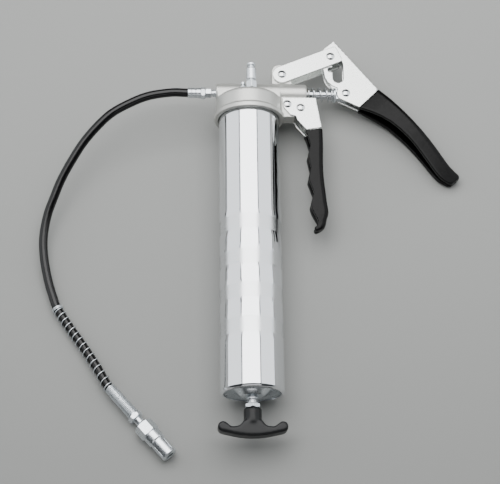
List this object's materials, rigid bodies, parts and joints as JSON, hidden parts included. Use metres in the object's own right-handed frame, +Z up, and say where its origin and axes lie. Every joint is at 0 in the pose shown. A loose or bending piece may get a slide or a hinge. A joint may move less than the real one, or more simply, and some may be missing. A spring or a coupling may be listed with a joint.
{
  "type": "grease gun",
  "caption": "Pistol-lever grease gun: screw-in chromed barrel, cast pump head, linked squeeze lever, fixed grip, T-handle pull rod and flexible hose ending in a jaw coupler.",
  "frame": {"origin": "floor point under the middle of the tool without its hose, as it lies at rest", "axes": "+Y from the T-handle towards the pump head, +X towards the lever, +Z up off the floor"},
  "size_m": [0.3984, 0.4058, 0.0662],
  "materials": {
    "cast_aluminium": "satin",
    "gasket_fibre": "matte",
    "valve_steel": "satin",
    "brass_pin": "satin",
    "zinc_plated_hardware": "satin",
    "zinc_plated_pressing": "satin",
    "rivet_steel": "polished",
    "dipped_vinyl": "semi gloss",
    "ground_steel": "ground",
    "spring_steel": "satin",
    "chrome_plate": "bright",
    "cap_steel": "satin",
    "nitrile_rubber": "matte",
    "moulded_abs": "satin",
    "hose_rubber": "glossy",
    "bright_zinc_coupler": "bright"
  },
  "bodies": {
    "head": {"pump_head": "cast_aluminium", "filler_body": "valve_steel", "bleeder_body": "valve_steel", "outlet_adapter": "zinc_plated_hardware", "outlet_check_spring": "spring_steel", "plunger_seal": "nitrile_rubber", "packing_nut": "brass_pin", "fixed_handle_channel": "zinc_plated_pressing", "fixed_handle_grip": "dipped_vinyl", "fixed_handle_rivets": "rivet_steel", "return_spring": "spring_steel", "hose_swivel_nut": "zinc_plated_hardware", "hose_head_ferrule": "zinc_plated_hardware", "hose": "hose_rubber", "spring_guard": "bright_zinc_coupler", "guard_wound_end": "bright_zinc_coupler", "coupler_ferrule": "bright_zinc_coupler", "ferrule_nut": "bright_zinc_coupler", "coupler_stem": "bright_zinc_coupler", "coupler_body": "bright_zinc_coupler", "coupler_sleeve": "bright_zinc_coupler", "coupler_spring": "spring_steel"},
    "link": {"link_plate_front": "zinc_plated_pressing", "link_plate_back": "zinc_plated_pressing", "link_head_pin": "rivet_steel", "link_lever_pin": "rivet_steel"},
    "lever": {"lever_channel": "zinc_plated_pressing", "lever_grip": "dipped_vinyl", "lever_plunger_pin": "rivet_steel"},
    "pump_plunger": {"plunger": "ground_steel", "spring_collar": "zinc_plated_hardware"},
    "filler_pin": {"filler_valve_pin": "brass_pin"},
    "bleed_pin": {"bleeder_pin": "brass_pin"},
    "outlet_ball": {"outlet_check_ball": "ground_steel"},
    "barrel_thread_ring": {"head_gasket": "gasket_fibre"},
    "barrel": {"barrel_tube": "chrome_plate", "end_cap": "cap_steel", "rod_bush": "brass_pin", "follower_spring": "spring_steel"},
    "follower": {"follower_plate": "cap_steel", "follower_cup": "nitrile_rubber", "follower_retainer": "cap_steel"},
    "pull_rod": {"follower_rod": "ground_steel", "rod_nut": "zinc_plated_hardware", "t_handle": "moulded_abs"},
    "jaws": {"coupler_jaws": "bright_zinc_coupler", "coupler_seal": "nitrile_rubber"},
    "coupler_valve": {"coupler_ball": "ground_steel"}
  },
  "joints": [
    {"name": "link_swing", "type": "hinge", "parent": "head", "child": "link", "pos_m": [-0.04629, 0.15703, 0.0296], "axis": [0.134, -0.0171, 0.9908], "range_deg": [0, 4.03]},
    {"name": "lever_squeeze", "type": "hinge", "parent": "link", "child": "lever", "pos_m": [0.00078, 0.17763, 0.02359], "axis": [-0.134, 0.0171, -0.9908], "range_deg": [0, 28], "stiffness_Nm_per_rad": 0.6, "springref_deg": -34.38},
    {"name": "plunger_slide", "type": "slide", "parent": "head", "child": "pump_plunger", "axis": [-0.991, -0.0023, 0.134], "range_m": [0, 0.01903], "deforming": ["return_spring"]},
    {"name": "filler_pin_press", "type": "slide", "parent": "head", "child": "filler_pin", "axis": [0, -0.9999, -0.0173], "range_m": [0, 0.0015], "stiffness_N_per_m": 800, "springref_m": -0.004},
    {"name": "bleeder_pin_press", "type": "slide", "parent": "head", "child": "bleed_pin", "axis": [0, -0.9999, -0.0173], "range_m": [0, 0.0015], "stiffness_N_per_m": 800, "springref_m": -0.004},
    {"name": "outlet_ball_lift", "type": "slide", "parent": "head", "child": "outlet_ball", "axis": [-0.991, -0.0023, 0.134], "range_m": [0, 0.0012], "stiffness_N_per_m": 300, "springref_m": -0.002, "deforming": ["outlet_check_spring"]},
    {"name": "barrel_screw_out", "type": "slide", "parent": "head", "child": "barrel_thread_ring", "axis": [0, -0.9999, -0.0173], "range_m": [0, 0.0101]},
    {"name": "barrel_turn", "type": "hinge", "parent": "barrel_thread_ring", "child": "barrel", "pos_m": [-0.078, 0.10996, 0.03307], "axis": [0, 0.9999, 0.0173], "range_deg": [0, 1800]},
    {"name": "follower_pull", "type": "slide", "parent": "barrel", "child": "follower", "axis": [0, -0.9999, -0.0173], "range_m": [0, 0.2], "stiffness_N_per_m": 150, "springref_m": -0.2, "deforming": ["follower_spring"]},
    {"name": "pull_rod_spin", "type": "hinge", "parent": "follower", "child": "pull_rod", "pos_m": [-0.078, -0.158, 0.02844], "axis": [0, 0.9999, 0.0173], "continuous": true},
    {"name": "coupler_jaws_press", "type": "slide", "parent": "head", "child": "jaws", "axis": [-0.6613, 0.7501, 0], "range_m": [0, 0.0012], "stiffness_N_per_m": 3000, "springref_m": -0.003, "deforming": ["coupler_spring"]},
    {"name": "coupler_ball_lift", "type": "slide", "parent": "jaws", "child": "coupler_valve", "axis": [-0.6613, 0.7501, 0], "range_m": [0, 0.001], "stiffness_N_per_m": 200, "springref_m": -0.002}
  ],
  "couplings": [
    {"joint": "link_swing", "follows": "lever_squeeze", "ratio": 0.1297},
    {"joint": "plunger_slide", "follows": "lever_squeeze", "m_per_rad": 0.037718},
    {"joint": "barrel_screw_out", "follows": "barrel_turn", "m_per_rad": 0.00031831}
  ]
}
